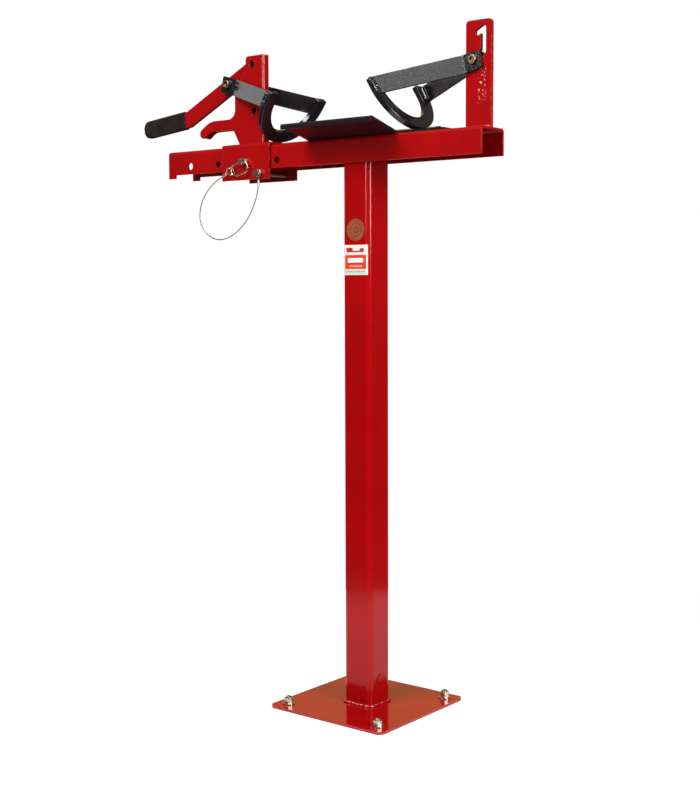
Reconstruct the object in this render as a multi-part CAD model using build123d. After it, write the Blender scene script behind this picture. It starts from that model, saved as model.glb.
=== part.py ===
from build123d import *
import math
import os

os.makedirs("parts", exist_ok=True)

# Bead breaker: a post on a base plate carries a channel beam; a carriage pinned on the beam
# carries a tower with a hand lever and the left jaw, an upright on the beam carries the right jaw.
# Millimetres, +Z up, +X along the beam to the upright, origin at the post's centre on the floor.

# base and post
base_side = 317.5
base_thickness = 6.35
base_corner_r = 16.0
anchor_inset = 31.75
anchor_hole_clearance = 1.15
anchor_d = 12.0
anchor_stud_above_nut = 4.0
anchor_washer_od = 29.0
anchor_washer_t = 2.5
anchor_nut_af = 19.0
anchor_nut_h = 12.0
post_side = 76.2
post_wall = 6.35
post_corner_r = 12.7
post_length = 1265.0
post_top_chamfer = 3.0
post_weld_leg = 7.0
post_weld_edge = 0.8
plug_d = 22.0
plug_t = 2.5
plug_rise = 57.5
badge_d = 48.0
badge_t = 0.8
badge_drop = 202.3
label_w = 65.0
label_h = 66.0
label_t = 0.5
label_drop = 267.8

# beam
plate_t = 4.8
beam_side_gap = 0.35
beam_height = 56.0
beam_left = -575.3
beam_right = 329.0
beam_bend_r = 8.0
index_pitch = 92.5
index_first_x = -502.0
index_count = 4
index_drop = 37.3
stop_tab_w = 21.4
stop_tab_h = 8.7

# tray
tray_left = -136.0
tray_right = 112.0
tray_flat_half = 37.0
tray_half_width = 131.0
tray_rise = 26.0
tray_lip = 11.0
tongue_half = 35.0
tongue_right = 229.0

# carriage, its retaining bolt and the tower
carriage_left = -390.5
carriage_right = -241.8
carriage_side_gap = 1.4
carriage_drop = 83.6
carriage_bend_r = 8.0
retainer_x = -273.0
retainer_drop = 66.3
retainer_d = 10.0
retainer_clearance = 0.05
retainer_head_af = 17.0
retainer_head_h = 6.4
retainer_washer_od = 20.0
retainer_washer_t = 2.0
tower_half_width = 11.0
tower_right = -292.0
tower_rise = 210.7
tower_bend_r = 5.5
tower_head_left = -347.5
tower_head_low_rise = 181.7
tower_waist_left = -383.0
tower_waist_top_rise = 126.7
tower_foot_left = -366.4
weld_end_gap = 0.4
tower_top_r = 8.0
horn_top_rise = 69.5
horn_bottom_rise = 44.5
horn_bend_x = -465.0
horn_under_x = -466.8
horn_root_x = -389.5
horn_tip_x = -488.0
horn_tip_rise = 41.7
horn_tip_r = 11.5
horn_top_angle_deg = 125.0
horn_low_angle_deg = -50.0
lower_hole_d = 17.0
lower_hole_x = -323.1
lower_hole_rise = 83.7
pivot_x = -327.5
pivot_rise = 191.7
pivot_d = 16.0
running_clearance = 0.05
pivot_recess = 0.8
pivot_washer_od = 27.0
pivot_washer_t = 1.1

# lever
lever_h = 38.1
lever_t = 9.5
lever_slope_deg = 25.9
handle_slope_deg = 6.2
lever_tail = 15.0
lever_bend_x = -545.0
handle_end_x = -694.0
grip_start_x = -555.0
grip_end_x = -699.5
grip_side_wall = 3.2
grip_top_wall = 2.2
grip_end_r = 18.0

# jaws
jaw_bolt_d = 12.0
jaw_bolt_head_d = 20.0
jaw_bolt_head_h = 8.0
jaw_bolt_socket_af = 10.0
jaw_bolt_socket_depth = 5.0
jaw_nut_af = 19.0
jaw_nut_h = 10.0
jaw_washer_od = 24.0
jaw_washer_t = 1.8
sleeve_od = 16.0
side_play = 0.15
strap_h = 38.1
strap_t = 6.35
strap_end = 18.0
strap_bolt_rise = 2.7
left_strap_end_r = 4.0
right_strap_end_r = 10.0
strap_straight = 26.0
strap_bend_r = 24.0
left_strap_gap = 7.0
right_strap_gap = 0.75
shoe_outer_r = 97.0
shoe_w = 28.0
shoe_t = 12.0
shoe_reach = 201.0
shoe_drop = 6.2
shoe_rake_deg = 20.0
shoe_tip_r = 3.0
weld_r = 3.4
left_bolt_x = -400.0
left_bolt_rise = 150.9
left_pitch_deg = 16.4
right_bolt_x = 287.5
right_bolt_rise = 139.2
right_pitch_deg = 12.1

# upright
upright_t = 8.0
upright_left = 265.1
upright_right = 327.5
upright_rise = 219.5
upright_corner_r = 8.0
slot_clearance = 0.3
slot_stem_x = 307.7
slot_stem_low_rise = 155.2
slot_stem_top_rise = 201.4
slot_pocket_x = 293.5
slot_pocket_rise = 194.2

# lock pin and pull ring
lock_pin_d = 16.0
lock_pin_clearance = 0.5
lock_pin_reach = 16.55
lock_pin_tail = 8.55
lock_pin_chamfer = 2.0
ring_gap = 9.55
ring_long = 56.0
ring_short = 31.0
ring_wire_d = 4.0
ring_tilt_deg = 12.0
ring_hole_d = 6.6
lock_pin_eye_t = 9.0
lock_pin_eye_l = 14.0

# lanyard
lanyard_d = 2.4
lanyard_eye_ring_r = 9.5
lanyard_eye_bolt_r = 6.9
eye_gap = 0.05
ferrule_d = 6.0
ferrule_l = 13.0

# derived levels
base_top = base_thickness
anchor_spacing = base_side - 2 * anchor_inset
anchor_hole_d = anchor_d + 2 * anchor_hole_clearance
plug_height = base_top + plug_rise
post_top = base_top + post_length
beam_top = post_top + plate_t
beam_inner_half = post_side / 2 + beam_side_gap
beam_half = beam_inner_half + plate_t
beam_bottom = beam_top - beam_height
carriage_inner_half = beam_half + carriage_side_gap
carriage_half = carriage_inner_half + plate_t
carriage_top = beam_top + plate_t
badge_height = beam_top - badge_drop
label_height = beam_top - label_drop
index_height = beam_top - index_drop
retainer_z = beam_top - retainer_drop
tower_top = beam_top + tower_rise
tower_head_low = beam_top + tower_head_low_rise
tower_waist_top = beam_top + tower_waist_top_rise
horn_top = beam_top + horn_top_rise
horn_bottom = beam_top + horn_bottom_rise
horn_tip_z = beam_top + horn_tip_rise
lower_hole_z = beam_top + lower_hole_rise
pivot_z = beam_top + pivot_rise
left_bolt_z = beam_top + left_bolt_rise
right_bolt_z = beam_top + right_bolt_rise
upright_top = beam_top + upright_rise
slot_stem_low = beam_top + slot_stem_low_rise
slot_stem_top = beam_top + slot_stem_top_rise
slot_pocket_z = beam_top + slot_pocket_rise
carriage_bottom = carriage_top - carriage_drop
lock_pin_x = index_first_x + 2 * index_pitch
lock_pin_front = -carriage_half - lock_pin_reach
lock_pin_back = carriage_half + lock_pin_tail
ring_y = -carriage_half - ring_gap
index_hole_d = lock_pin_d + 2 * lock_pin_clearance
slot_w = jaw_bolt_d + 2 * slot_clearance


def write(shape, name):
    solids = shape.solids()
    out = solids[0] if len(solids) == 1 else Compound(children=list(solids))
    out.label = name
    export_step(out, "parts/" + name + ".step")
    print(name, "solids", len(solids), "volume", round(sum(s.volume for s in solids)))
    return out


def box(x0, x1, y0, y1, z0, z1):
    return Pos((x0 + x1) / 2, (y0 + y1) / 2, (z0 + z1) / 2) * Box(x1 - x0, y1 - y0, z1 - z0)


def biggest(shape):
    return shape.solids().sort_by(SortBy.VOLUME)[-1]


def rod_y(x, z, y0, y1, d):
    return Pos(x, (y0 + y1) / 2, z) * Rot(90, 0, 0) * Cylinder(d / 2, y1 - y0)


def rod_z(x, y, z0, z1, d):
    return Pos(x, y, (z0 + z1) / 2) * Cylinder(d / 2, z1 - z0)


def hex_y(x, z, y0, y1, af):
    flat = RegularPolygon(af / math.sqrt(3), 6)
    body = extrude(Plane(origin=(x, y0, z), x_dir=(1, 0, 0), z_dir=(0, 1, 0)) * flat, y1 - y0)
    turned = rod_y(x, z, y0, y1, af * 1.11)
    turned = chamfer(turned.edges().filter_by(GeomType.CIRCLE), 0.9)
    return body & turned


def hex_z(x, y, z0, z1, af):
    flat = RegularPolygon(af / math.sqrt(3), 6)
    body = extrude(Pos(x, y, z0) * flat, z1 - z0)
    turned = rod_z(x, y, z0, z1, af * 1.11)
    turned = chamfer(turned.edges().filter_by(GeomType.CIRCLE), 0.9)
    return body & turned


def side_plate(corners, y0, y1):
    # a flat outline of (x, z, corner radius), given thickness from y0 to y1
    sheet = make_face(Polyline([(cx, cz) for cx, cz, r in corners], close=True))
    for cx, cz, r in corners:
        if r > 0:
            corner = sheet.vertices().sort_by_distance((cx, cz, 0))[0]
            sheet = fillet(corner, r)
    plane = Plane(origin=(0, y1, 0), x_dir=(1, 0, 0), z_dir=(0, -1, 0))
    return extrude(plane * sheet, y1 - y0)


def bent_channel(half, top, bottom, wall, bend_r, x0, x1):
    # an inverted U sheet: the mid line runs up one leg, across the web and down the other
    mid = half - wall / 2
    mid_top = top - wall / 2
    points = [(x0, -mid, bottom), (x0, -mid, mid_top), (x0, mid, mid_top), (x0, mid, bottom)]
    path = FilletPolyline(points, radius=bend_r - wall / 2)
    section = Plane(origin=points[0], x_dir=(1, 0, 0), z_dir=(0, 0, 1))
    face = section * Pos((x1 - x0) / 2, 0) * Rectangle(x1 - x0, wall)
    return sweep(face, path=path)


# ---- base and post
def make_base_plate():
    plate = extrude(RectangleRounded(base_side, base_side, base_corner_r), base_thickness)
    half = anchor_spacing / 2
    for sx in (-half, half):
        for sy in (-half, half):
            plate -= rod_z(sx, sy, -1, base_thickness + 1, anchor_hole_d)
    return plate


def make_post_tube():
    inner = post_side - 2 * post_wall
    ring = RectangleRounded(post_side, post_side, post_corner_r)
    ring -= RectangleRounded(inner, inner, post_corner_r - post_wall)
    post = extrude(Pos(0, 0, base_top) * ring, post_length)
    top = [e for e in post.faces().sort_by(Axis.Z)[-1].outer_wire().edges()]
    return chamfer(top, post_top_chamfer)


def make_post_weld():
    # a fillet bead round the foot of the post
    low = Pos(0, 0, base_top) * rounded_square(post_weld_leg)
    high = Pos(0, 0, base_top + post_weld_leg) * rounded_square(post_weld_edge)
    bead = loft([low, high])
    core = RectangleRounded(post_side, post_side, post_corner_r)
    return bead - extrude(Pos(0, 0, base_top - 1) * core, post_weld_leg + 2)


def rounded_square(grow):
    side = post_side + 2 * grow
    return RectangleRounded(side, side, post_corner_r + grow)


def make_anchors():
    half = anchor_spacing / 2
    spots = [(sx, sy) for sx in (-half, half) for sy in (-half, half)]
    washer_top = base_top + anchor_washer_t
    nut_top = washer_top + anchor_nut_h
    studs, washers, nuts = [], [], []
    for sx, sy in spots:
        stud = rod_z(sx, sy, 0, nut_top + anchor_stud_above_nut, anchor_d)
        studs.append(chamfer(stud.edges().group_by(Axis.Z)[-1], 1.2))
        hole = rod_z(sx, sy, base_top - 1, nut_top + 1, anchor_d + 2 * running_clearance)
        washers.append(rod_z(sx, sy, base_top, washer_top, anchor_washer_od) - hole)
        nuts.append(hex_z(sx, sy, washer_top, nut_top, anchor_nut_af) - hole)
    return Compound(children=studs), Compound(children=washers), Compound(children=nuts)


def make_post_plug():
    face = Plane(origin=(post_side / 2, -2, plug_height), x_dir=(0, 1, 0), z_dir=(1, 0, 0))
    plug = extrude(face * Circle(plug_d / 2), plug_t)
    return fillet(plug.edges().group_by(Axis.X)[-1], 1.8)


def make_badge():
    disc = rod_y(0.6, badge_height, -post_side / 2 - badge_t, -post_side / 2, badge_d)
    face = disc.faces().sort_by(Axis.Y)[0]
    return chamfer(face.edges(), 0.25)


def make_label():
    # a thin film on the front face whose sides follow the tube's rounded corners
    centre = post_side / 2 - post_corner_r
    outer = RectangleRounded(post_side + 2 * label_t, post_side + 2 * label_t, post_corner_r + label_t)
    shell = outer - RectangleRounded(post_side, post_side, post_corner_r)
    shell = extrude(Pos(0, 0, label_height - label_h / 2) * shell, label_h)
    keep = box(-label_w / 2, label_w / 2, -post_side / 2 - 1, -centre, 0, 3000)
    return shell & keep


# ---- beam and what is welded on it
def make_beam():
    beam = bent_channel(beam_half, beam_top, beam_bottom, plate_t, beam_bend_r, beam_left, beam_right)
    for n in range(index_count):
        x = index_first_x + n * index_pitch
        beam -= rod_y(x, index_height, -beam_half - 5, beam_half + 5, index_hole_d)
    for side in (-1, 1):
        inner = side * beam_inner_half
        outer = side * beam_half
        low = min(inner, outer)
        high = max(inner, outer)
        tab = box(beam_left, beam_left + stop_tab_w, low, high, beam_bottom - stop_tab_h, beam_bottom)
        beam += tab
    return beam


def make_tray():
    slope = math.atan2(tray_rise, tray_half_width - tray_flat_half)
    mid_z = beam_top + plate_t / 2
    tip_y = tray_half_width - plate_t / 2
    tip_z = mid_z + (tip_y - tray_flat_half) * math.tan(slope)
    lip_z = tip_z - tray_lip
    pts = [(-tip_y, lip_z), (-tip_y, tip_z), (-tray_flat_half, mid_z)]
    pts += [(tray_flat_half, mid_z), (tip_y, tip_z), (tip_y, lip_z)]
    pts = [(tray_left, py, pz) for py, pz in pts]
    path = FilletPolyline(pts, radius=plate_t / 2 + 1.4)
    section = Plane(origin=pts[0], x_dir=(1, 0, 0), z_dir=(0, 0, 1))
    length = tray_right - tray_left
    tray = sweep(section * Pos(length / 2, 0) * Rectangle(length, plate_t), path=path)
    tongue = box(tray_right - 1, tongue_right, -tongue_half, tongue_half, beam_top, beam_top + plate_t)
    return tray + tongue


def make_upright():
    half = upright_t / 2
    plate = box(upright_left, upright_right, -half, half, beam_top, upright_top)
    top_corners = plate.edges().filter_by(Axis.Y).group_by(Axis.Z)[-1]
    plate = fillet(top_corners, upright_corner_r)
    pairs = [
        ((slot_stem_x, slot_stem_low), (slot_stem_x, slot_stem_top)),
        ((slot_stem_x, slot_stem_low), (right_bolt_x, right_bolt_z)),
        ((slot_stem_x, slot_stem_top), (slot_pocket_x, slot_pocket_z)),
    ]
    for a, b in pairs:
        plate -= slot_cut(a, b, half + 1)
    return plate


def slot_cut(a, b, half):
    dx = b[0] - a[0]
    dz = b[1] - a[1]
    long = math.hypot(dx, dz)
    mid = ((a[0] + b[0]) / 2, -half, (a[1] + b[1]) / 2)
    plane = Plane(origin=mid, x_dir=(dx / long, 0, dz / long), z_dir=(0, 1, 0))
    return extrude(plane * SlotCenterToCenter(long, slot_w), 2 * half)


def make_upright_weld():
    leg = 6.0
    half = upright_t / 2
    outer = box(upright_left - 1, upright_right - 0.3, -half - leg, half + leg, beam_top, beam_top + leg)
    outer = chamfer(outer.edges().group_by(Axis.Z)[-1].filter_by(Axis.X), leg - 0.8)
    core = box(upright_left, upright_right + 5, -half, half, beam_top - 1, upright_top)
    gap = box(upright_left - 2, upright_left, -half - leg, half + leg, beam_top - 1, beam_top + leg + 1)
    return outer - core - gap


# ---- carriage and tower
def make_carriage():
    sleeve = bent_channel(carriage_half, carriage_top, carriage_bottom, plate_t, carriage_bend_r,
                          carriage_left, carriage_right)
    sleeve -= rod_y(lock_pin_x, index_height, -carriage_half - 5, carriage_half + 5, index_hole_d)
    hole = retainer_d + 2 * retainer_clearance
    sleeve -= rod_y(retainer_x, retainer_z, -carriage_half - 5, carriage_half + 5, hole)
    return sleeve


def make_retainer():
    eye_room = lanyard_d + 0.8
    head_in = -carriage_half - eye_room - retainer_washer_t
    nut_out = carriage_half + retainer_washer_t + 8.4
    shank = rod_y(retainer_x, retainer_z, head_in, nut_out + 4, retainer_d)
    head = hex_y(retainer_x, retainer_z, head_in - retainer_head_h, head_in, retainer_head_af)
    bolt = shank + head
    hole = rod_y(retainer_x, retainer_z, -90, 90, retainer_d + 2 * retainer_clearance)
    front = rod_y(retainer_x, retainer_z, head_in, head_in + retainer_washer_t, retainer_washer_od)
    back = rod_y(retainer_x, retainer_z, carriage_half, carriage_half + retainer_washer_t,
                 retainer_washer_od)
    nut = hex_y(retainer_x, retainer_z, carriage_half + retainer_washer_t, nut_out, retainer_head_af)
    washers = Compound(children=[(front - hole).solid(), (back - hole).solid()])
    return bolt, washers, nut - hole


def make_tower():
    mid = tower_half_width - plate_t / 2
    x_mid = tower_right - plate_t / 2
    pts = [(-530, -mid, carriage_top), (x_mid, -mid, carriage_top)]
    pts += [(x_mid, mid, carriage_top), (-530, mid, carriage_top)]
    path = FilletPolyline(pts, radius=tower_bend_r - plate_t / 2)
    height = tower_top - carriage_top
    section = Plane(origin=pts[0], x_dir=(0, 0, 1), z_dir=(1, 0, 0))
    wall = sweep(section * Pos(height / 2, 0) * Rectangle(height, plate_t), path=path)
    spare = 1.0
    up_angle = math.radians(horn_top_angle_deg)
    low_angle = math.radians(horn_low_angle_deg)
    tip_top = (horn_tip_x + horn_tip_r * math.cos(up_angle), horn_tip_z + horn_tip_r * math.sin(up_angle), 0)
    tip_low = (horn_tip_x + horn_tip_r * math.cos(low_angle), horn_tip_z + horn_tip_r * math.sin(low_angle), 0)
    outline = [
        (tower_right + spare, carriage_top - spare, 0),
        (tower_right + spare, tower_top, 0),
        (tower_head_left, tower_top, tower_top_r),
        (tower_head_left, tower_head_low, 6.0),
        (tower_waist_left, tower_waist_top, 6.0),
        (tower_waist_left, horn_top, 22.0),
        (horn_bend_x, horn_top, 60.0),
        tip_top,
        (horn_tip_x, horn_tip_z, 0),
        tip_low,
        (horn_under_x, horn_bottom, 38.0),
        (horn_root_x, horn_bottom, 8.0),
        (tower_foot_left, carriage_top - spare, 0),
    ]
    profile = side_plate(outline, -tower_half_width - spare, tower_half_width + spare)
    profile += rod_y(horn_tip_x, horn_tip_z, -tower_half_width - spare, tower_half_width + spare,
                     2 * horn_tip_r)
    tower = wall & profile
    hole = pivot_d + 2 * running_clearance
    tower -= rod_y(pivot_x, pivot_z, -20, 20, hole)
    tower -= rod_y(lower_hole_x, lower_hole_z, -20, 20, lower_hole_d)
    return tower


def make_tower_weld():
    # beads along the foot of the tower's two plates
    leg = 5.0
    beads = []
    for side in (-1, 1):
        y0 = side * tower_half_width
        y1 = side * (tower_half_width + leg)
        bead = box(tower_foot_left + weld_end_gap, tower_right - 6, min(y0, y1), max(y0, y1), carriage_top, carriage_top + leg)
        edges = [e for e in bead.edges().filter_by(Axis.X)
                 if abs(e.center().Z - carriage_top - leg) < 0.1 and abs(abs(e.center().Y) - abs(y1)) < 0.1]
        beads.append(chamfer(edges, leg - 0.8).solid())
    return Compound(children=beads)


def make_pivot():
    end = tower_half_width - pivot_recess
    pin = rod_y(pivot_x, pivot_z, -end, end, pivot_d)
    pin = chamfer(pin.edges().filter_by(GeomType.CIRCLE), 0.8)
    inner = tower_half_width - plate_t
    hole = rod_y(pivot_x, pivot_z, -20, 20, pivot_d + 2 * running_clearance)
    rings = []
    for side in (-1, 1):
        y0 = side * inner
        y1 = side * (inner - pivot_washer_t)
        disc = rod_y(pivot_x, pivot_z, min(y0, y1), max(y0, y1), pivot_washer_od)
        rings.append((disc - hole).solid())
    return pin, Compound(children=rings)


# ---- lever
slope = math.radians(lever_slope_deg)
along = (-math.cos(slope), -math.sin(slope))
up = (-math.sin(slope), math.cos(slope))
slope2 = math.radians(handle_slope_deg)
along2 = (-math.cos(slope2), -math.sin(slope2))
up2 = (-math.sin(slope2), math.cos(slope2))


def lever_outline(extra, x_end):
    # corners at the bar's bend and far end, with both edges grown by extra
    half = lever_h / 2 + extra
    bend_s = (left_bolt_x - lever_bend_x) / math.cos(slope)
    bend = (left_bolt_x + along[0] * bend_s, left_bolt_z + along[1] * bend_s)
    mitre = half / math.cos((slope - slope2) / 2)
    mid = (slope + slope2) / 2
    top_bend = (bend[0] - math.sin(mid) * mitre, bend[1] + math.cos(mid) * mitre)
    low_bend = (bend[0] + math.sin(mid) * mitre, bend[1] - math.cos(mid) * mitre)
    run = (bend[0] - x_end) / math.cos(slope2)
    end = (bend[0] + along2[0] * run, bend[1] + along2[1] * run)
    end_top = (end[0] + up2[0] * half, end[1] + up2[1] * half)
    end_low = (end[0] - up2[0] * half, end[1] - up2[1] * half)
    return top_bend, low_bend, end_top, end_low


def make_lever_bar():
    top_bend, low_bend, end_top, end_low = lever_outline(0, handle_end_x)
    half = lever_h / 2
    dx = pivot_x - left_bolt_x
    dz = pivot_z - left_bolt_z
    tail_s = dx * along[0] + dz * along[1] - lever_tail
    tail = (left_bolt_x + along[0] * tail_s, left_bolt_z + along[1] * tail_s)
    corners = [
        (tail[0] - up[0] * half, tail[1] - up[1] * half, 4.0),
        (tail[0] + up[0] * half, tail[1] + up[1] * half, 4.0),
        (*top_bend, 45.0),
        (*end_top, grip_end_r - grip_top_wall),
        (*end_low, grip_end_r - grip_top_wall),
        (*low_bend, 20.0),
    ]
    bar = side_plate(corners, -lever_t / 2, lever_t / 2)
    bar -= rod_y(pivot_x, pivot_z, -20, 20, pivot_d + 2 * running_clearance)
    bar -= rod_y(left_bolt_x, left_bolt_z, -20, 20, jaw_bolt_d + 2 * running_clearance)
    return bar


def make_lever_grip(bar):
    top_bend, low_bend, end_top, end_low = lever_outline(grip_top_wall, grip_end_x)
    share = (top_bend[0] + low_bend[0]) / 2
    run = (share - grip_start_x) / math.cos(slope2)
    centre = ((top_bend[0] + low_bend[0]) / 2 + along2[0] * run, (top_bend[1] + low_bend[1]) / 2 + along2[1] * run)
    half = lever_h / 2 + grip_top_wall
    wide = lever_t / 2 + grip_side_wall
    corners = [
        (centre[0] - up2[0] * half, centre[1] - up2[1] * half, 0),
        (centre[0] + up2[0] * half, centre[1] + up2[1] * half, 0),
        (*end_top, grip_end_r),
        (*end_low, grip_end_r),
    ]
    grip = side_plate(corners, -wide, wide)
    rim = [e for e in grip.edges() if abs(abs(e.center().Y) - wide) < 0.05]
    grip = fillet(rim, 3.0)
    return grip - bar


# ---- jaws, each built in its own plane: bolt at the origin, straps along X, sheet up Z
def jaw_plane(x, z, pitch_deg, side):
    p = math.radians(pitch_deg)
    return Plane(origin=(x, 0, z), x_dir=(side * math.cos(p), 0, -math.sin(p)),
                 z_dir=(side * math.sin(p), 0, math.cos(p)))


rake = math.radians(shoe_rake_deg)
shoe_normal = Vector(math.cos(rake), 0, -math.sin(rake))
# the face of the shoe that the straps are welded to
shoe_plane = Plane(origin=Vector(shoe_reach, 0, -shoe_drop) - shoe_normal * (shoe_t / 2),
                   x_dir=(0, 1, 0), z_dir=shoe_normal)


def make_shoe():
    inner = shoe_outer_r - shoe_w
    tip = (strap_h / 2 + shoe_drop - strap_bolt_rise) / math.cos(rake)
    sheet = Circle(shoe_outer_r) - Circle(inner)
    sheet = sheet & (Pos(0, -shoe_outer_r) * Rectangle(3 * shoe_outer_r, 2 * shoe_outer_r))
    for side in (-1, 1):
        mid = side * (shoe_outer_r + inner) / 2
        sheet += Pos(mid, tip / 2) * Rectangle(shoe_w, tip)
    corners = [v for v in sheet.vertices() if v.Y > tip - 0.5]
    sheet = fillet(corners, shoe_tip_r)
    shoe = extrude(shoe_plane * sheet, shoe_t)
    rim = [e for e in shoe.edges() if e.length > 60 and e.geom_type == GeomType.CIRCLE]
    return chamfer(rim, 0.8) if rim else shoe


def make_strap(inner_half, side, end_r):
    mid = inner_half + strap_t / 2
    outward = math.atan2(shoe_outer_r - strap_t / 2 - mid, shoe_reach - strap_straight)
    reach = shoe_reach + 16.0
    y_end = mid + (reach - strap_straight) * math.tan(outward)
    low = -strap_bolt_rise
    pts = [(-strap_end, side * mid, low), (strap_straight, side * mid, low), (reach, side * y_end, low)]
    path = FilletPolyline(pts, radius=strap_bend_r)
    section = Plane(origin=pts[0], x_dir=(0, 1, 0), z_dir=(1, 0, 0))
    strap = sweep(section * Rectangle(strap_t, strap_h), path=path)
    near_end = [e for e in strap.edges().filter_by(Axis.Y) if abs(e.center().X + strap_end) < 0.1]
    strap = fillet(near_end, end_r)
    beyond = extrude(shoe_plane * Rectangle(600, 600), 200)
    strap -= beyond
    strap -= rod_y(0, 0, -60, 60, jaw_bolt_d + 2 * running_clearance)
    return strap


def make_strap_welds(straps, shoe):
    # a bead up the inner and outer side of each strap where it meets the shoe
    beads = []
    for strap in straps:
        ends = [f for f in strap.faces() if abs(shoe_plane.to_local_coords(f.center()).Z) < 0.05]
        long_edges = ends[0].edges().sort_by(SortBy.LENGTH)[-2:]
        for edge in long_edges:
            a = edge @ 0
            b = edge @ 1
            d = (b - a).normalized()
            bead = extrude(Plane(origin=a + d * 1.5, z_dir=d) * Circle(weld_r), (b - a).length - 3)
            bead = fillet(bead.edges().filter_by(GeomType.CIRCLE), 1.2)
            bead = bead - strap - shoe
            beads.append(biggest(bead))
    return beads


def make_jaw(x, z, pitch_deg, side, inner_half, end_r):
    plane = jaw_plane(x, z, pitch_deg, side)
    shoe = make_shoe()
    one = make_strap(inner_half, -1, end_r)
    two = make_strap(inner_half, 1, end_r)
    beads = make_strap_welds([one, two], shoe)
    placed = [plane.location * s for s in (one, two, shoe)]
    weld = Compound(children=[plane.location * s for s in beads])
    front = placed[0] if side > 0 else placed[1]
    rear = placed[1] if side > 0 else placed[0]
    return front, rear, placed[2], weld


def make_jaw_bolt(x, z, inner_half):
    outer = inner_half + strap_t
    under = -outer - side_play
    back = outer + side_play + jaw_washer_t
    nut_out = back + jaw_nut_h
    head = rod_y(x, z, under - jaw_bolt_head_h, under, jaw_bolt_head_d)
    rim = head.faces().sort_by(Axis.Y)[0].edges()
    head = fillet(rim, 1.6)
    bolt = head + rod_y(x, z, under, nut_out + 4, jaw_bolt_d)
    socket_top = under - jaw_bolt_head_h - 1
    socket = extrude(Plane(origin=(x, socket_top, z), x_dir=(1, 0, 0), z_dir=(0, 1, 0))
                     * RegularPolygon(jaw_bolt_socket_af / math.sqrt(3), 6), jaw_bolt_socket_depth + 1)
    bolt = bolt - socket
    hole = rod_y(x, z, -90, 90, jaw_bolt_d + 2 * running_clearance)
    washer = rod_y(x, z, outer + side_play, back, jaw_washer_od) - hole
    nut = hex_y(x, z, back, nut_out, jaw_nut_af) - hole
    return bolt, washer, nut


def make_sleeves():
    hole = rod_y(left_bolt_x, left_bolt_z, -60, 60, jaw_bolt_d + 2 * running_clearance)
    rings = []
    for side in (-1, 1):
        y0 = side * (lever_t / 2 + side_play)
        y1 = side * (lever_t / 2 + left_strap_gap - side_play)
        ring = rod_y(left_bolt_x, left_bolt_z, min(y0, y1), max(y0, y1), sleeve_od)
        rings.append((ring - hole).solid())
    return Compound(children=rings)


# ---- lock pin, its ring and the lanyard
ring_wire_r = ring_wire_d / 2
ring_r = (ring_short - ring_wire_d) / 2
ring_half = (ring_long - ring_short) / 2
tilt = math.radians(ring_tilt_deg)
ring_dir = (math.cos(tilt), 0, math.sin(tilt))
ring_up = (-math.sin(tilt), 0, math.cos(tilt))
ring_centre = (
    lock_pin_x - ring_r * ring_up[0] - ring_half * ring_dir[0],
    ring_y,
    index_height - ring_r * ring_up[2] - ring_half * ring_dir[2],
)


def make_lock_pin():
    # a plain pin whose front end is flattened and cross drilled for the ring
    pin = rod_y(lock_pin_x, index_height, lock_pin_front, lock_pin_back, lock_pin_d)
    pin = chamfer(pin.faces().sort_by(Axis.Y)[-1].edges(), lock_pin_chamfer)
    pin = fillet(pin.faces().sort_by(Axis.Y)[0].edges(), 1.5)
    head = Plane(origin=(lock_pin_x, lock_pin_front, index_height), x_dir=ring_dir, z_dir=(0, 1, 0))
    for side in (-1, 1):
        cut = Pos(side * (lock_pin_eye_t / 2 + 10), 0) * Rectangle(20, 40)
        pin -= extrude(head * cut, lock_pin_eye_l)
    cross = Plane(origin=(lock_pin_x, ring_y, index_height), z_dir=ring_dir) * Cylinder(ring_hole_d / 2, 40)
    return pin - cross


def make_pull_ring():
    plane = Plane(origin=ring_centre, x_dir=ring_dir, z_dir=(0, -1, 0))
    r = ring_r
    half = ring_half
    lines = [
        Line((-half, r), (half, r)),
        ThreePointArc((half, r), (half + r, 0), (half, -r)),
        Line((half, -r), (-half, -r)),
        ThreePointArc((-half, -r), (-half - r, 0), (-half, r)),
    ]
    path = plane * Wire([e for line in lines for e in line.edges()])
    section = Plane(origin=path @ 0, z_dir=path % 0) * Circle(ring_wire_r)
    return sweep(section, path=path)


# route of the loose cable, from the ring's eye down, round and up to the retaining bolt's eye
lanyard_route = [
    (-364.5, -59.0, 1213.85), (-396.0, -59.0, 1200.85), (-427.0, -59.0, 1180.85), (-449.0, -59.5, 1151.85),
    (-458.0, -60.0, 1118.35), (-448.0, -60.0, 1087.85), (-420.5, -59.5, 1065.35), (-388.0, -59.0, 1058.85),
    (-355.0, -58.0, 1066.85), (-327.0, -57.0, 1084.35), (-303.0, -55.5, 1107.35), (-286.0, -54.0, 1136.85),
    (-274.5, -52.3, 1168.85), (-272.9, -51.05, 1201.65),
]


def bend_radii(points):
    # each bend as large as nine tenths of what its shorter neighbouring run allows
    radii = []
    for a, b, c in zip(points, points[1:], points[2:]):
        u = Vector(*b) - Vector(*a)
        v = Vector(*c) - Vector(*b)
        turn = math.radians(u.get_angle(v))
        radii.append(round(0.45 * min(u.length, v.length) / math.tan(turn / 2), 1))
    return radii


def make_lanyard():
    radii = bend_radii(lanyard_route)
    print("lanyard bend radii", radii)
    path = FilletPolyline(lanyard_route, radius=radii)
    start = path @ 0
    section = Plane(origin=start, z_dir=path % 0) * Circle(lanyard_d / 2)
    cable = sweep(section, path=path)
    print("lanyard volume", round(cable.volume), "section by length",
          round(math.pi * lanyard_d ** 2 / 4 * path.length))
    return cable


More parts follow.
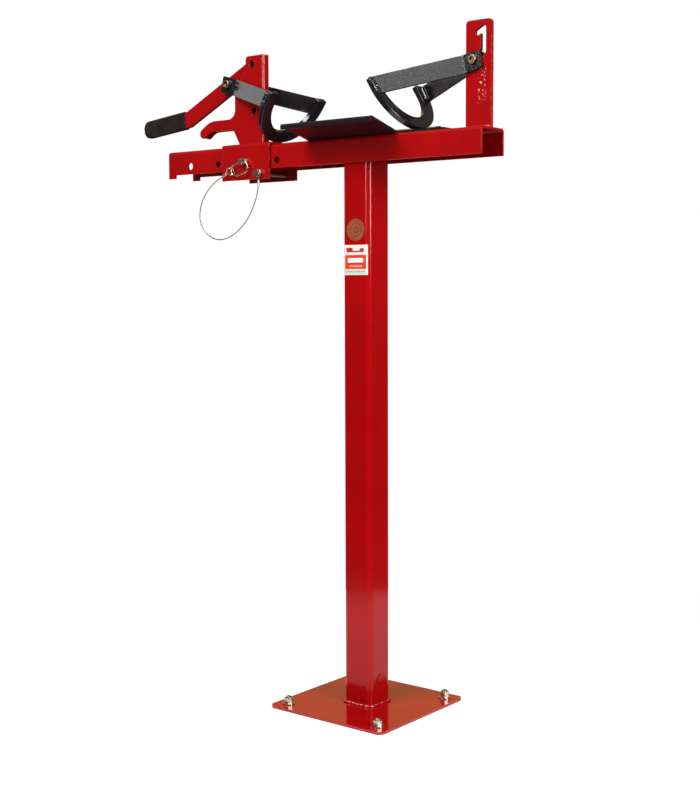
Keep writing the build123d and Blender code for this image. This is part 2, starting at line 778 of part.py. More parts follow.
def make_eyes():
    # an eye round the pull ring, in a plane turned from the ring's own, and one round the bolt
    first = Vector(*lanyard_route[0])
    lead = (first - Vector(*lanyard_route[1])).normalized()
    eye_centre = first + lead * (lanyard_eye_ring_r + lanyard_d / 2 + eye_gap)
    cross = lead.cross(Vector(0, 1, 0)).normalized() - Vector(0, 1, 0)
    normal = lead.cross(cross).normalized()
    eye_one = Plane(origin=eye_centre, z_dir=normal) * Torus(lanyard_eye_ring_r, lanyard_d / 2)
    eye_y = -carriage_half - lanyard_d / 2 - 0.4
    eye_two = Pos(retainer_x, eye_y, retainer_z) * Rot(90, 0, 0) * Torus(lanyard_eye_bolt_r, lanyard_d / 2)
    return Compound(children=[eye_one.solid(), eye_two.solid()])


def make_ferrules(cable):
    sleeves = []
    for a, b, skip in ((0, 1, 3.0), (-1, -2, 7.0)):
        p = Vector(*lanyard_route[a])
        q = Vector(*lanyard_route[b])
        d = (q - p).normalized()
        body = extrude(Plane(origin=p + d * skip, z_dir=d) * Circle(ferrule_d / 2), ferrule_l)
        body = fillet(body.edges().filter_by(GeomType.CIRCLE), 1.2)
        sleeves.append(biggest(body - cable))
    return Compound(children=sleeves)


# ---- write every piece
write(make_base_plate(), "base_plate")
write(make_post_tube(), "post_tube")
write(make_post_weld(), "post_weld")
studs, washers, nuts = make_anchors()
write(studs, "anchor_studs")
write(washers, "anchor_washers")
write(nuts, "anchor_nuts")
write(make_post_plug(), "post_plug")
write(make_badge(), "badge")
write(make_label(), "label_plate")
write(make_beam(), "beam_channel")
write(make_tray(), "tray")
write(make_upright(), "upright_plate")
write(make_upright_weld(), "upright_weld")
write(make_carriage(), "carriage_sleeve")
bolt, washers, nut = make_retainer()
write(bolt, "retaining_bolt")
write(washers, "retaining_washers")
write(nut, "retaining_nut")
write(make_tower(), "tower")
write(make_tower_weld(), "tower_weld")
pin, rings = make_pivot()
write(pin, "lever_pivot_pin")
write(rings, "pivot_washers")
lever = make_lever_bar()
write(lever, "lever_bar")
write(make_lever_grip(lever), "lever_grip")
left_inner = lever_t / 2 + left_strap_gap
front, rear, shoe, weld = make_jaw(left_bolt_x, left_bolt_z, left_pitch_deg, 1, left_inner,
                                   left_strap_end_r)
write(front, "left_front_strap")
write(rear, "left_rear_strap")
write(shoe, "left_shoe")
write(weld, "left_jaw_welds")
bolt, washer, nut = make_jaw_bolt(left_bolt_x, left_bolt_z, left_inner)
write(bolt, "left_jaw_bolt")
write(washer, "left_jaw_washer")
write(nut, "left_jaw_nut")
write(make_sleeves(), "left_jaw_sleeves")
right_inner = upright_t / 2 + right_strap_gap
front, rear, shoe, weld = make_jaw(right_bolt_x, right_bolt_z, right_pitch_deg, -1, right_inner,
                                   right_strap_end_r)
write(front, "right_front_strap")
write(rear, "right_rear_strap")
write(shoe, "right_shoe")
write(weld, "right_jaw_welds")
bolt, washer, nut = make_jaw_bolt(right_bolt_x, right_bolt_z, right_inner)
write(bolt, "right_jaw_bolt")
write(washer, "right_jaw_washer")
write(nut, "right_jaw_nut")
write(make_lock_pin(), "lock_pin")
write(make_pull_ring(), "pull_ring")
cable = make_lanyard()
write(cable, "lanyard_cable")
write(make_eyes(), "lanyard_eyes")
write(make_ferrules(cable), "lanyard_ferrules")
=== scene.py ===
import bpy
import math
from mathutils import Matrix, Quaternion, Vector


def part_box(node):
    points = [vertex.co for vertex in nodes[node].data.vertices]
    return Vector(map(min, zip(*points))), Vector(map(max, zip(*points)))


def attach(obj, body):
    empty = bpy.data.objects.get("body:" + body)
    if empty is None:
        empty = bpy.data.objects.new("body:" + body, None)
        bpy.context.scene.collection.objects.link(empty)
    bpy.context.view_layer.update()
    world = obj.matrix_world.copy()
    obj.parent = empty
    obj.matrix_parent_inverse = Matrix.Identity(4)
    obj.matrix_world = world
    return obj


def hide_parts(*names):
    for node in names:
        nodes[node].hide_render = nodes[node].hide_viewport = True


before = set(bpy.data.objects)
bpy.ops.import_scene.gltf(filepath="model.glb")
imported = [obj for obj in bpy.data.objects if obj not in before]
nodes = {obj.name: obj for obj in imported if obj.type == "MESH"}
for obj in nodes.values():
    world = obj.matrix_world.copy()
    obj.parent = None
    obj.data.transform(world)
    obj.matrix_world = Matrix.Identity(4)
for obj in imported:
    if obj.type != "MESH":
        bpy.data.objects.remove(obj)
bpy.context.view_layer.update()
bpy.context.scene.view_settings.view_transform = "Standard"

RED = (0.33, 0.0018, 0.0022, 1)
RED_DEEP = (0.27, 0.0014, 0.0020, 1)
BLACK = (0.0060, 0.0052, 0.0070, 1)
BLACK_WORN = (0.0120, 0.0100, 0.0115, 1)
ZINC = (0.60, 0.56, 0.47, 1)
STEEL = (0.34, 0.33, 0.28, 1)
BROWN_STEEL = (0.40, 0.30, 0.23, 1)
OXIDE = (0.035, 0.030, 0.030, 1)
BARE = (0.80, 0.62, 0.52, 1)
RUBBER = (0.0110, 0.0065, 0.0060, 1)
RUBBER_PALE = (0.0260, 0.0170, 0.0150, 1)
GILT = (0.44, 0.20, 0.055, 1)
GILT_DEEP = (0.30, 0.12, 0.03, 1)
ENAMEL = (0.30, 0.030, 0.012, 1)
ENAMEL_DEEP = (0.20, 0.020, 0.010, 1)
FILM = (0.78, 0.70, 0.62, 1)
FILM_DEEP = (0.70, 0.62, 0.54, 1)
FILM_DIRT = (0.30, 0.20, 0.15, 1)
FLOOR = (0.47, 0.47, 0.47, 1)
FLOOR_DEEP = (0.44, 0.44, 0.44, 1)
MM = 0.001


# ---- node helpers
def new_material(name):
    m = bpy.data.materials.new(name)
    m.use_nodes = True
    t = m.node_tree
    t.nodes.clear()
    out = t.nodes.new("ShaderNodeOutputMaterial")
    bsdf = t.nodes.new("ShaderNodeBsdfPrincipled")
    t.links.new(bsdf.outputs[0], out.inputs[0])
    coord = t.nodes.new("ShaderNodeTexCoord")
    return m, t, bsdf, coord.outputs["Object"]


def noise(t, coord, scale, detail=3.0, rough=0.5):
    n = t.nodes.new("ShaderNodeTexNoise")
    n.inputs["Scale"].default_value = scale
    n.inputs["Detail"].default_value = detail
    n.inputs["Roughness"].default_value = rough
    t.links.new(coord, n.inputs["Vector"])
    return n.outputs["Fac"]


def spread(t, value, low, high, to_low=0.0, to_high=1.0):
    n = t.nodes.new("ShaderNodeMapRange")
    n.inputs["From Min"].default_value = low
    n.inputs["From Max"].default_value = high
    n.inputs["To Min"].default_value = to_low
    n.inputs["To Max"].default_value = to_high
    t.links.new(value, n.inputs["Value"])
    return n.outputs["Result"]


def math_node(t, kind, a, b=0.0):
    n = t.nodes.new("ShaderNodeMath")
    n.operation = kind
    for socket, v in zip(n.inputs, (a, b)):
        if isinstance(v, (int, float)):
            socket.default_value = v
        else:
            t.links.new(v, socket)
    return n.outputs[0]


def times(t, *values):
    out = values[0]
    for v in values[1:]:
        out = math_node(t, "MULTIPLY", out, v)
    return out


def mix(t, factor, a, b):
    n = t.nodes.new("ShaderNodeMix")
    n.data_type = "RGBA"
    t.links.new(factor, n.inputs["Factor"])
    for socket, v in ((n.inputs["A"], a), (n.inputs["B"], b)):
        if isinstance(v, tuple):
            socket.default_value = v
        else:
            t.links.new(v, socket)
    return n.outputs["Result"]


def split(t, coord):
    n = t.nodes.new("ShaderNodeSeparateXYZ")
    t.links.new(coord, n.inputs[0])
    return list(n.outputs)


def between(t, value, low, high, soft=0.0006):
    # one between low and high, falling to zero over soft outside them
    rise = spread(t, value, low - soft, low)
    fall = spread(t, value, high + soft, high)
    return times(t, rise, fall)


def round_edges(t, radius):
    n = t.nodes.new("ShaderNodeBevel")
    n.samples = 4
    n.inputs["Radius"].default_value = radius
    return n.outputs["Normal"]


def edge_mask(t, rounded, amount):
    # one along sharp edges, where the rounded normal leaves the real one
    geo = t.nodes.new("ShaderNodeNewGeometry")
    dot = t.nodes.new("ShaderNodeVectorMath")
    dot.operation = "DOT_PRODUCT"
    t.links.new(rounded, dot.inputs[0])
    t.links.new(geo.outputs["Normal"], dot.inputs[1])
    return spread(t, dot.outputs["Value"], 1.0, 1.0 - amount)


def bump(t, height, strength, distance, normal=None):
    n = t.nodes.new("ShaderNodeBump")
    n.inputs["Strength"].default_value = strength
    n.inputs["Distance"].default_value = distance
    t.links.new(height, n.inputs["Height"])
    if normal is not None:
        t.links.new(normal, n.inputs["Normal"])
    return n.outputs["Normal"]


# ---- materials
def powder_coat(name, base, deep, gloss, level, wear=0.3, peel=0.10, scuff=None):
    # baked paint: faint orange peel, thin on the edges, chipped to the metal here and there
    m, t, bsdf, coord = new_material(name)
    broad = spread(t, noise(t, coord, 7.0, 4), 0.35, 0.7)
    colour = mix(t, broad, base, deep)
    rounded = round_edges(t, 0.0011)
    edge = edge_mask(t, rounded, 0.35)
    patch = spread(t, noise(t, coord, 95.0, 5, 0.65), 0.60, 0.68)
    chip = times(t, edge, patch, wear)
    if scuff:
        x, _, z = split(t, coord)
        area = times(t, between(t, x, *scuff[0], 0.004), between(t, z, *scuff[1], 0.012))
        speck = spread(t, noise(t, coord, 210.0, 4, 0.7), 0.585, 0.63)
        chip = math_node(t, "MAXIMUM", chip, times(t, area, speck))
    colour = mix(t, chip, colour, BARE)
    t.links.new(colour, bsdf.inputs["Base Color"])
    smear = spread(t, noise(t, coord, 16.0, 6, 0.6), 0.3, 0.75, gloss, gloss + 0.10)
    t.links.new(smear, bsdf.inputs["Roughness"])
    fine = bump(t, noise(t, coord, 620.0, 2, 0.4), peel, 0.0004, rounded)
    slow = bump(t, noise(t, coord, 90.0, 2, 0.4), peel * 0.5, 0.0008, fine)
    t.links.new(slow, bsdf.inputs["Normal"])
    bsdf.inputs["Specular IOR Level"].default_value = level
    return m


def zinc(name, base, rough):
    # plated or bare steel: a fine grain and warm dull stains
    m, t, bsdf, coord = new_material(name)
    stain = spread(t, noise(t, coord, 130.0, 5, 0.6), 0.38, 0.68)
    stained = (base[0] * 0.55, base[1] * 0.50, base[2] * 0.40, 1)
    t.links.new(mix(t, stain, base, stained), bsdf.inputs["Base Color"])
    rounded = round_edges(t, 0.0005)
    bsdf.inputs["Metallic"].default_value = 1.0
    fine = spread(t, noise(t, coord, 900.0, 3), 0.3, 0.7, rough, rough + 0.16)
    t.links.new(fine, bsdf.inputs["Roughness"])
    t.links.new(bump(t, noise(t, coord, 1400.0, 2), 0.12, 0.0002, rounded), bsdf.inputs["Normal"])
    return m


def rubber(name):
    m, t, bsdf, coord = new_material(name)
    broad = spread(t, noise(t, coord, 22.0, 5, 0.6), 0.35, 0.7)
    t.links.new(mix(t, broad, RUBBER, RUBBER_PALE), bsdf.inputs["Base Color"])
    t.links.new(spread(t, noise(t, coord, 60.0, 4), 0.3, 0.7, 0.30, 0.46), bsdf.inputs["Roughness"])
    grain = noise(t, coord, 1500.0, 3, 0.5)
    t.links.new(bump(t, grain, 0.25, 0.0003, round_edges(t, 0.0012)), bsdf.inputs["Normal"])
    bsdf.inputs["Specular IOR Level"].default_value = 0.10
    return m


def badge_metal(name, face_y, depth):
    # gilt where the relief stands up, brown-red enamel in the field
    m, t, bsdf, coord = new_material(name)
    high = spread(t, split(t, coord)[1], face_y - depth * 0.55, face_y - depth * 0.80)
    gilt = mix(t, noise(t, coord, 260.0, 4), GILT, GILT_DEEP)
    enamel = mix(t, noise(t, coord, 300.0, 4), ENAMEL, ENAMEL_DEEP)
    t.links.new(mix(t, high, enamel, gilt), bsdf.inputs["Base Color"])
    t.links.new(times(t, high, 0.7), bsdf.inputs["Metallic"])
    t.links.new(spread(t, noise(t, coord, 500.0, 3), 0.3, 0.7, 0.32, 0.5), bsdf.inputs["Roughness"])
    t.links.new(bump(t, noise(t, coord, 1200.0, 2), 0.15, 0.0002), bsdf.inputs["Normal"])
    return m


def label_film(name, low, high):
    # a printed film with a pale head and foot and a red panel; plain bars stand for its print
    m, t, bsdf, coord = new_material(name)
    x, _, z = split(t, coord)
    mid = (low.x + high.x) / 2
    tall = high.z - low.z

    def bar(x0, x1, z0, z1):
        across = between(t, x, mid + x0 * MM, mid + x1 * MM)
        return times(t, across, between(t, z, low.z + z0 * tall, low.z + z1 * tall))

    colour = mix(t, noise(t, coord, 60.0, 4), FILM, FILM_DEEP)
    foot_tint = (0.56, 0.60, 0.50, 1)
    foot_ink = (0.30, 0.34, 0.27, 1)
    head_ink = (0.34, 0.022, 0.018, 1)
    panel_red = (0.66, 0.030, 0.018, 1)
    panel_pale = (0.86, 0.80, 0.74, 1)
    panel_rose = (0.90, 0.30, 0.22, 1)
    # each bar's sides are millimetres from the middle, its foot and head are shares of the height
    prints = [
        (foot_tint, (-31, 31, 0.015, 0.195)),
        (panel_red, (-29, 29, 0.205, 0.66)),
        (head_ink, (-24, 22, 0.76, 0.80)),
        (head_ink, (-25, -8, 0.80, 0.90)),
        (head_ink, (12, 23, 0.80, 0.88)),
        (panel_pale, (-21, 21, 0.42, 0.56)),
        (panel_rose, (-18, 18, 0.27, 0.32)),
        (foot_ink, (-27, -6, 0.095, 0.125)),
        (foot_ink, (-3, 14, 0.095, 0.125)),
        (foot_ink, (17, 27, 0.095, 0.125)),
    ]
    for ink, where in prints:
        colour = mix(t, bar(*where), colour, ink)
    dirt = spread(t, noise(t, coord, 38.0, 6, 0.7), 0.58, 0.75, 0.0, 0.25)
    t.links.new(mix(t, dirt, colour, FILM_DIRT), bsdf.inputs["Base Color"])
    t.links.new(spread(t, noise(t, coord, 80.0, 3), 0.3, 0.7, 0.28, 0.42), bsdf.inputs["Roughness"])
    t.links.new(bump(t, noise(t, coord, 240.0, 3), 0.12, 0.0003), bsdf.inputs["Normal"])
    bsdf.inputs["Specular IOR Level"].default_value = 0.3
    return m


upright_low, upright_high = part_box("upright_plate")
scuff_x = (upright_high.x - 0.030, upright_high.x - 0.016)
scuff_z = (upright_low.z + 0.058, upright_low.z + 0.115)
red = powder_coat("red_powder_coat", RED, RED_DEEP, 0.08, 0.42, peel=0.06)
post_red = powder_coat("red_post", RED, RED_DEEP, 0.08, 0.22, peel=0.05)
base_red = powder_coat("red_base_plate", RED, RED_DEEP, 0.06, 0.5, peel=0.04)
upright_red = powder_coat("red_upright", RED, RED_DEEP, 0.09, 0.36, scuff=(scuff_x, scuff_z))
weld_red = powder_coat("red_weld", RED, RED_DEEP, 0.08, 0.8, wear=0.15)
black = powder_coat("black_powder_coat", BLACK, BLACK_WORN, 0.13, 0.5, wear=0.10)
black_rough = powder_coat("black_orange_peel", BLACK, BLACK_WORN, 0.13, 0.5, wear=0.25, peel=1.0)
black_weld = powder_coat("black_weld", BLACK, BLACK_WORN, 0.05, 0.9, wear=0.35, peel=0.5)
plated = zinc("zinc_plate", ZINC, 0.18)
dark_steel = zinc("dark_steel", STEEL, 0.24)
brown_steel = zinc("brown_steel", BROWN_STEEL, 0.22)
black_oxide = zinc("black_oxide", OXIDE, 0.30)
grip_rubber = rubber("grip_rubber")


def paint(material, *names):
    for n in names:
        mesh = nodes[n].data
        mesh.materials.clear()
        mesh.materials.append(material)


label_low, label_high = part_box("label_plate")
paint(post_red, "post_tube", "post_plug")
paint(red, "post_weld", "beam_channel", "upright_weld", "carriage_sleeve", "tower",
      "tower_weld", "lever_bar")
paint(base_red, "base_plate")
paint(upright_red, "upright_plate")
paint(black, "tray", "left_front_strap", "left_rear_strap", "left_shoe", "left_jaw_welds",
      "right_rear_strap", "right_shoe", "right_jaw_welds")
paint(black_rough, "right_front_strap")
paint(plated, "anchor_washers", "anchor_nuts", "retaining_bolt", "retaining_washers", "retaining_nut",
      "pivot_washers", "left_jaw_washer", "left_jaw_nut", "left_jaw_sleeves", "right_jaw_washer",
      "right_jaw_nut", "lock_pin", "pull_ring", "lanyard_ferrules", "lanyard_eyes", "badge")
paint(dark_steel, "anchor_studs")
paint(brown_steel, "left_jaw_bolt", "right_jaw_bolt")
paint(black_oxide, "lever_pivot_pin")
paint(grip_rubber, "lever_grip")
paint(label_film("label_film", label_low, label_high), "label_plate")


# ---- camera, floor and light
def add_camera():
    yaw = 0.67028
    pitch = 0.088586
    roll = -0.00349
    data = bpy.data.cameras.new("camera")
    data.sensor_fit = "HORIZONTAL"
    data.sensor_width = 36.0
    data.lens = 69.05
    data.clip_end = 60
    cam = bpy.data.objects.new("camera", data)
    bpy.context.scene.collection.objects.link(cam)
    cam.location = (1.8335, -2.3727, 0.96285)
    forward = Vector((-math.sin(yaw) * math.cos(pitch), math.cos(yaw) * math.cos(pitch), -math.sin(pitch)))
    turn = forward.to_track_quat("-Z", "Y") @ Quaternion((0, 0, 1), roll)
    cam.rotation_euler = turn.to_euler()
    bpy.context.scene.camera = cam


def add_area(name, place, target, size, power, colour=(1, 1, 1)):
    data = bpy.data.lights.new(name, "AREA")
    data.shape = "RECTANGLE"
    data.size = size[0]
    data.size_y = size[1]
    data.energy = power
    data.color = colour
    lamp = bpy.data.objects.new(name, data)
    bpy.context.scene.collection.objects.link(lamp)
    lamp.location = place
    lamp.rotation_euler = (Vector(target) - Vector(place)).to_track_quat("-Z", "Y").to_euler()
    lamp.visible_camera = False


def add_floor():
    sides = 64
    radius = 1.15
    below_object = 0.0006
    ring = [(radius * math.cos(a), radius * math.sin(a), 0)
            for a in (2 * math.pi * k / sides for k in range(sides))]
    mesh = bpy.data.meshes.new("floor")
    mesh.from_pydata(ring, [], [tuple(range(sides))])
    floor = bpy.data.objects.new("floor", mesh)
    floor.location = (0, 0, -below_object)
    bpy.context.scene.collection.objects.link(floor)
    m, t, bsdf, coord = new_material("floor")
    pale = mix(t, noise(t, coord, 1.5, 3), FLOOR, FLOOR_DEEP)
    t.links.new(pale, bsdf.inputs["Base Color"])
    bsdf.inputs["Roughness"].default_value = 1.0
    bsdf.inputs["Specular IOR Level"].default_value = 0.0
    bsdf.inputs["Emission Color"].default_value = (1, 1, 1, 1)
    bsdf.inputs["Emission Strength"].default_value = 0.68
    mesh.materials.append(m)


def add_world():
    # a white studio behind the object, and for its gloss a dim room with a warm wall at the back
    world = bpy.data.worlds.new("studio")
    bpy.context.scene.world = world
    world.use_nodes = True
    t = world.node_tree
    back = t.nodes["Background"]
    x, y, z = split(t, t.nodes.new("ShaderNodeTexCoord").outputs["Generated"])
    away = math_node(t, "ADD", times(t, x, -0.62), times(t, y, 0.78))
    wall = times(t, spread(t, away, 0.45, 0.85), between(t, z, -0.02, 0.42, 0.2))
    room = mix(t, spread(t, z, -0.1, 0.7), (0.050, 0.046, 0.050, 1), (0.15, 0.15, 0.165, 1))
    room = mix(t, wall, room, (0.62, 0.36, 0.15, 1))
    seen = t.nodes.new("ShaderNodeLightPath").outputs["Is Camera Ray"]
    t.links.new(mix(t, seen, room, (1, 1, 1, 1)), back.inputs["Color"])
    back.inputs["Strength"].default_value = 1.0


add_camera()
add_floor()
add_world()
add_area("front_box", (-0.42, -3.0, 1.68), (0.05, 0, 1.35), (0.5, 0.85), 24)
add_area("strap_box", (1.0, -2.8, 2.45), (0.2, 0, 1.4), (1.4, 1.0), 17)
add_area("high_box", (-0.5, -2.5, 3.5), (-0.1, 0, 1.3), (1.6, 1.4), 128)
add_area("side_box", (3.1, -0.3, 2.0), (0, 0, 1.0), (1.0, 1.8), 128)
add_area("left_box", (-2.85, 0.0, 2.0), (-0.3, 0, 1.4), (1.4, 1.6), 8, (0.84, 0.94, 1.0))


# ---- mesh helpers
def piece(name, verts, faces, material, body, slot, smooth=True):
    mesh = bpy.data.meshes.new(name)
    mesh.from_pydata([tuple(v) for v in verts], [], faces)
    mesh.validate()
    mesh.materials.append(material)
    if smooth:
        mesh.shade_smooth()
    obj = bpy.data.objects.new(name, mesh)
    bpy.context.scene.collection.objects.link(obj)
    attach(obj, body)
    return obj


def side_vectors(path, closed):
    # two steady directions square to a path at each of its points
    frames = []
    count = len(path)
    across = None
    for k in range(count):
        ahead = path[(k + 1) % count] if closed or k + 1 < count else path[k]
        behind = path[k - 1] if closed or k > 0 else path[k]
        tangent = (ahead - behind).normalized()
        if across is None:
            across = tangent.orthogonal().normalized()
        across = (across - tangent * across.dot(tangent)).normalized()
        frames.append((across, tangent.cross(across)))
    return frames


def tube(path, ring, radius_at, closed=False):
    # a skin round a path: radius_at(length so far, angle) gives the distance from the path
    frames = side_vectors(path, closed)
    verts, faces = [], []
    run = 0.0
    for k, (p, (u, v)) in enumerate(zip(path, frames)):
        if k:
            run += (p - path[k - 1]).length
        for j in range(ring):
            a = 2 * math.pi * j / ring
            r = radius_at(run, a)
            verts.append(p + (u * math.cos(a) + v * math.sin(a)) * r)
    rows = len(path)
    for k in range(rows if closed else rows - 1):
        for j in range(ring):
            a = k * ring + j
            b = k * ring + (j + 1) % ring
            c = ((k + 1) % rows) * ring + (j + 1) % ring
            d = ((k + 1) % rows) * ring + j
            faces.append((a, b, c, d))
    if not closed:
        faces.append(tuple(reversed(range(ring))))
        faces.append(tuple(range((rows - 1) * ring, rows * ring)))
    return verts, faces


def steps(a, b, gap):
    count = max(2, round((b - a).length / gap))
    return [a.lerp(b, k / count) for k in range(count + 1)]


def merge(parts):
    verts, faces = [], []
    for v, f in parts:
        start = len(verts)
        verts += v
        faces += [tuple(i + start for i in face) for face in f]
    return verts, faces


# ---- weld beads: overlapping ripples, each a little different from the last
BEAD_SIDES = 16
RIPPLE_PITCH = 0.0042
LONG_RIPPLE_PITCH = 0.0046


def ripples(radius, pitch, length=None):
    def radius_at(run, angle):
        s = run + pitch * 0.35 * math.cos(angle)
        n = math.floor(s / pitch)
        part = s / pitch - n
        arch = math.sqrt(max(0.0, 1 - (2 * part - 1) ** 2))
        wander = 0.07 * math.sin(n * 2.4) + 0.05 * math.sin(n * 5.1 + 1.3)
        r = radius * (0.84 + 0.18 * arch + wander)
        if length is not None:
            ends = min(run, length - run) / (radius * 1.1)
            r *= math.sqrt(max(0.02, 1 - (1 - min(1.0, ends)) ** 2))
        return r
    return radius_at


def straight_bead(a, b, radius, pitch=RIPPLE_PITCH):
    path = steps(a, b, pitch / 6)
    return tube(path, BEAD_SIDES, ripples(radius, pitch, (b - a).length))


def ring_path(half, corner, z, gap):
    # a square with round corners, at one height
    path = []
    flat = half - corner
    for k in range(4):
        turn = k * math.pi / 2
        centre = Vector((flat, flat, 0))
        arc = [centre + Vector((math.cos(a), math.sin(a), 0)) * corner
               for a in (math.pi / 2 * j / 10 for j in range(11))]
        side = steps(arc[-1], Vector((-flat, half, 0)), gap)[1:-1]
        for p in arc + side:
            x = p.x * math.cos(turn) - p.y * math.sin(turn)
            y = p.x * math.sin(turn) + p.y * math.cos(turn)
            path.append(Vector((x, y, z)))
    return path


def bead_pair(low, high, sides, inset, z, radius):
    # two straight beads along X, one on each side of a plate's foot
    beads = []
    for y in sides:
        start = Vector((low.x + inset, y, z))
        end = Vector((high.x - inset, y, z))
        beads.append(straight_bead(start, end, radius))
    return merge(beads)


def add_weld(name, skin, node):
    obj = piece(name, *skin, weld_red, "stand", "red_powder_coat")
    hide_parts(node)


def add_frame_welds():
    plate_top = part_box("base_plate")[1].z
    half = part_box("post_tube")[1].x
    bead = 0.0046
    lift = 0.0016
    path = ring_path(half + lift, 0.0143, plate_top + lift, 0.0008)
    skin = tube(path, BEAD_SIDES, ripples(bead, LONG_RIPPLE_PITCH), closed=True)
    add_weld("post_weld_bead", skin, "post_weld")

    low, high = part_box("upright_plate")
    sides = (low.y - 0.0010, high.y + 0.0010)
    skin = bead_pair(low, high, sides, 0.002, low.z + 0.0012, 0.0043)
    add_weld("upright_weld_beads", skin, "upright_weld")

    low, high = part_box("tower_weld")
    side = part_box("tower")[1].y
    sides = (-side - 0.0008, side + 0.0008)
    skin = bead_pair(low, high, sides, 0.001, low.z + 0.0010, 0.0036)
    add_weld("tower_weld_beads", skin, "tower_weld")


def islands(mesh):
    # the vertices of each separate shell of a mesh
    parent = list(range(len(mesh.vertices)))

    def root(i):
        while parent[i] != i:
            parent[i] = parent[parent[i]]
            i = parent[i]
        return i

    for e in mesh.edges:
        a, b = (root(i) for i in e.vertices)
        parent[a] = b
    groups = {}
    for v in mesh.vertices:
        groups.setdefault(root(v.index), []).append(v.co.copy())
    return list(groups.values())


def long_axis(points):
    # the two ends of a long thin shell
    first = points[0]
    a = max(points, key=lambda p: (p - first).length)
    b = max(points, key=lambda p: (p - a).length)
    along = (b - a).normalized()
    ends = []
    for tip in (a, b):
        near = [p for p in points if abs((p - tip).dot(along)) < 0.004]
        ends.append(sum(near, Vector()) / len(near))
    return ends


def add_jaw_welds(side):
    node = side + "_jaw_welds"
    beads = []
    for points in islands(nodes[node].data):
        a, b = long_axis(points)
        beads.append(straight_bead(a, b, 0.0037, LONG_RIPPLE_PITCH))
    verts, faces = merge(beads)
    obj = piece(side + "_jaw_weld_beads", verts, faces, black_weld, side + "_jaw", "black_powder_coat")
    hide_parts(node)


# ---- screw threads on the bolts' free ends
M10_RADIUS = 0.005
M10_PITCH = 0.0015
M12_RADIUS = 0.006
M12_PITCH = 0.00175
THREAD_PEAK = 0.00028
THREAD_ROOT = 0.00025
THREAD_HALF_WIDTH = 0.36


def helix(start, axis, radius, length, pitch):
    # a ridge wound round a bolt's end, a triangle in section, closed at both ends
    axis = Vector(axis)
    u = axis.orthogonal().normalized()
    v = axis.cross(u)
    turn_steps = 24
    fade_steps = 8
    count = int(length / pitch * turn_steps)
    verts, faces = [], []
    for k in range(count + 1):
        a = 2 * math.pi * k / turn_steps
        out = u * math.cos(a) + v * math.sin(a)
        taper = min(1.0, k / fade_steps, (count - k) / fade_steps)
        middle = start + axis * (pitch * (0.5 + k / turn_steps))
        peak = radius + THREAD_PEAK * taper
        base = radius - THREAD_ROOT
        verts += [middle - axis * pitch * THREAD_HALF_WIDTH + out * base, middle + out * peak,
                  middle + axis * pitch * THREAD_HALF_WIDTH + out * base]
    for k in range(count):
        for j in range(3):
            a = k * 3 + j
            b = k * 3 + (j + 1) % 3
            faces.append((a, b, b + 3, a + 3))
    faces += [(2, 1, 0), (count * 3, count * 3 + 1, count * 3 + 2)]
    return verts, faces


def add_threads():
    low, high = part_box("anchor_studs")
    nut_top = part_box("anchor_nuts")[1].z
    bare_end = 0.0030
    run = high.z - nut_top - bare_end
    parts = []
    for x in (low.x + M12_RADIUS, high.x - M12_RADIUS):
        for y in (low.y + M12_RADIUS, high.y - M12_RADIUS):
            parts.append(helix(Vector((x, y, nut_top)), (0, 0, 1), M12_RADIUS, run, M12_PITCH))
    verts, faces = merge(parts)
    piece("anchor_threads", verts, faces, dark_steel, "stand", "zinc_plate", smooth=False)
    ends = (("retaining_bolt", "retaining_nut", M10_RADIUS, M10_PITCH, "stand"),
            ("left_jaw_bolt", "left_jaw_nut", M12_RADIUS, M12_PITCH, "left_pin"),
            ("right_jaw_bolt", "right_jaw_nut", M12_RADIUS, M12_PITCH, "right_pin"))
    for bolt, nut, radius, pitch, body in ends:
        low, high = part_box(bolt)
        nut_low, nut_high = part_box(nut)
        middle = (nut_low + nut_high) / 2
        start = Vector((middle.x, nut_high.y, middle.z))
        verts, faces = helix(start, (0, 1, 0), radius, high.y - nut_high.y - pitch, pitch)
        piece(bolt + "_thread", verts, faces, dark_steel, body, "zinc_plate", smooth=False)


# ---- the round badge: rim, beaded ring and a plain cog wheel in relief
def badge_height(r, angle):
    # r in millimetres; the height is a share of the badge's thickness
    if r > 22.0:
        return 1.0
    if 16.2 < r < 17.4:
        return 0.95
    if 18.2 < r < 21.0 and math.sin(36 * angle) > 0.0:
        return 0.9
    if 8.0 < r < 11.0 or r < 3.2:
        return 0.95
    if 11.0 <= r < 13.6 and math.sin(10 * angle) > 0.1:
        return 0.9
    return 0.45


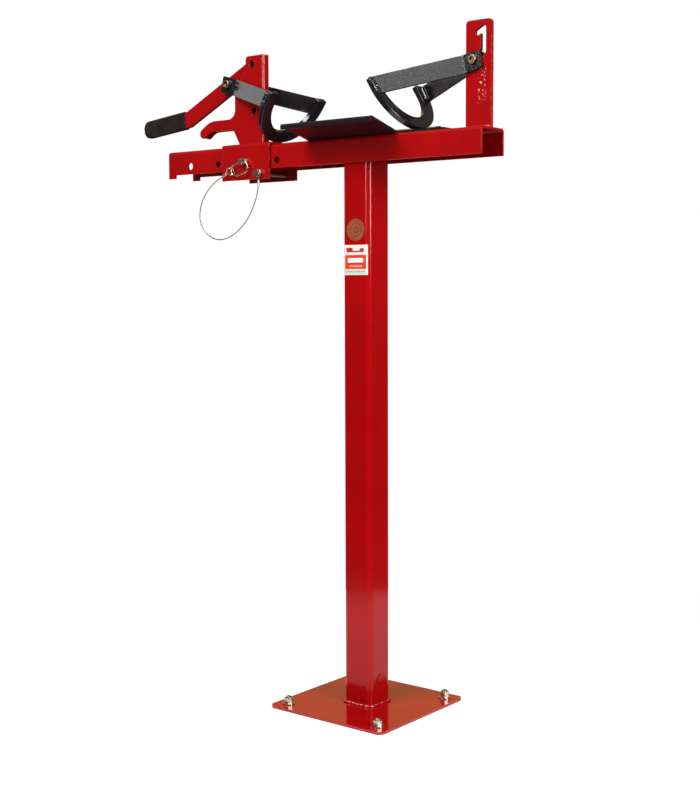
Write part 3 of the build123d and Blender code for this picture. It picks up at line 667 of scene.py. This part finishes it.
def add_badge():
    low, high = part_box("badge")
    centre = (low + high) / 2
    back = high.y
    depth = high.y - low.y
    radius = (high.x - low.x) / 2
    rings = 60
    turns = 216
    verts = [Vector((centre.x, back - depth * badge_height(0, 0), centre.z))]
    faces = []
    for k in range(1, rings + 1):
        for j in range(turns):
            a = 2 * math.pi * j / turns
            r = radius * k / rings
            h = badge_height(r / MM, a) * depth
            verts.append(Vector((centre.x + r * math.cos(a), back - h, centre.z + r * math.sin(a))))
    rim = verts[-turns:]
    verts += [Vector((v.x, back, v.z)) for v in rim]
    for j in range(turns):
        n = (j + 1) % turns
        faces.append((0, 1 + j, 1 + n))
        for k in range(rings):
            a = 1 + k * turns
            faces.append((a + j, a + turns + j, a + turns + n, a + n))
    faces.append(tuple(1 + rings * turns + j for j in reversed(range(turns))))
    obj = piece("badge_relief", verts, faces, badge_metal("badge_metal", back, depth), "stand",
                "badge_metal", smooth=False)
    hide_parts("badge")


# ---- the wire lanyard, with the route's points as the control points of one smooth line
LANYARD_D = 0.0024
WIRES = 6
WIRE_LAY = 0.014
LANYARD_ROUTE = [
    (-0.3645, -0.0590, 1.21385), (-0.3960, -0.0590, 1.20085), (-0.4270, -0.0590, 1.18085),
    (-0.4490, -0.0595, 1.15185), (-0.4580, -0.0600, 1.11835), (-0.4480, -0.0600, 1.08785),
    (-0.4205, -0.0595, 1.06535), (-0.3880, -0.0590, 1.05885), (-0.3550, -0.0580, 1.06685),
    (-0.3270, -0.0570, 1.08435), (-0.3030, -0.0555, 1.10735), (-0.2860, -0.0540, 1.13685),
    (-0.2745, -0.0523, 1.16885), (-0.2729, -0.05105, 1.20165),
]


def smooth_line(name, route, resolution):
    curve = bpy.data.curves.new(name, "CURVE")
    curve.dimensions = "3D"
    spline = curve.splines.new("NURBS")
    spline.points.add(len(route) - 1)
    for point, place in zip(spline.points, route):
        point.co = (*place, 1)
    spline.order_u = 3
    spline.use_endpoint_u = True
    spline.resolution_u = resolution
    obj = bpy.data.objects.new(name, curve)
    line = bpy.data.meshes.new_from_object(obj)
    points = [v.co.copy() for v in line.vertices]
    bpy.data.objects.remove(obj)
    bpy.data.curves.remove(curve)
    bpy.data.meshes.remove(line)
    return points


def strands(run, angle):
    # the wires are laid round each other, one turn in each WIRE_LAY
    phase = WIRES / 2 * (angle - 2 * math.pi * run / WIRE_LAY)
    return LANYARD_D / 2 * (0.82 + 0.18 * abs(math.cos(phase)))


def add_lanyard():
    points = smooth_line("lanyard_line", LANYARD_ROUTE, 40)
    verts, faces = tube(points, 30, strands)
    rope = piece("lanyard", verts, faces, zinc("wire_rope", STEEL, 0.26), "stand", "wire_rope")
    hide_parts("lanyard_cable")


add_lanyard()
add_frame_welds()
add_jaw_welds("left")
add_jaw_welds("right")
add_threads()
add_badge()
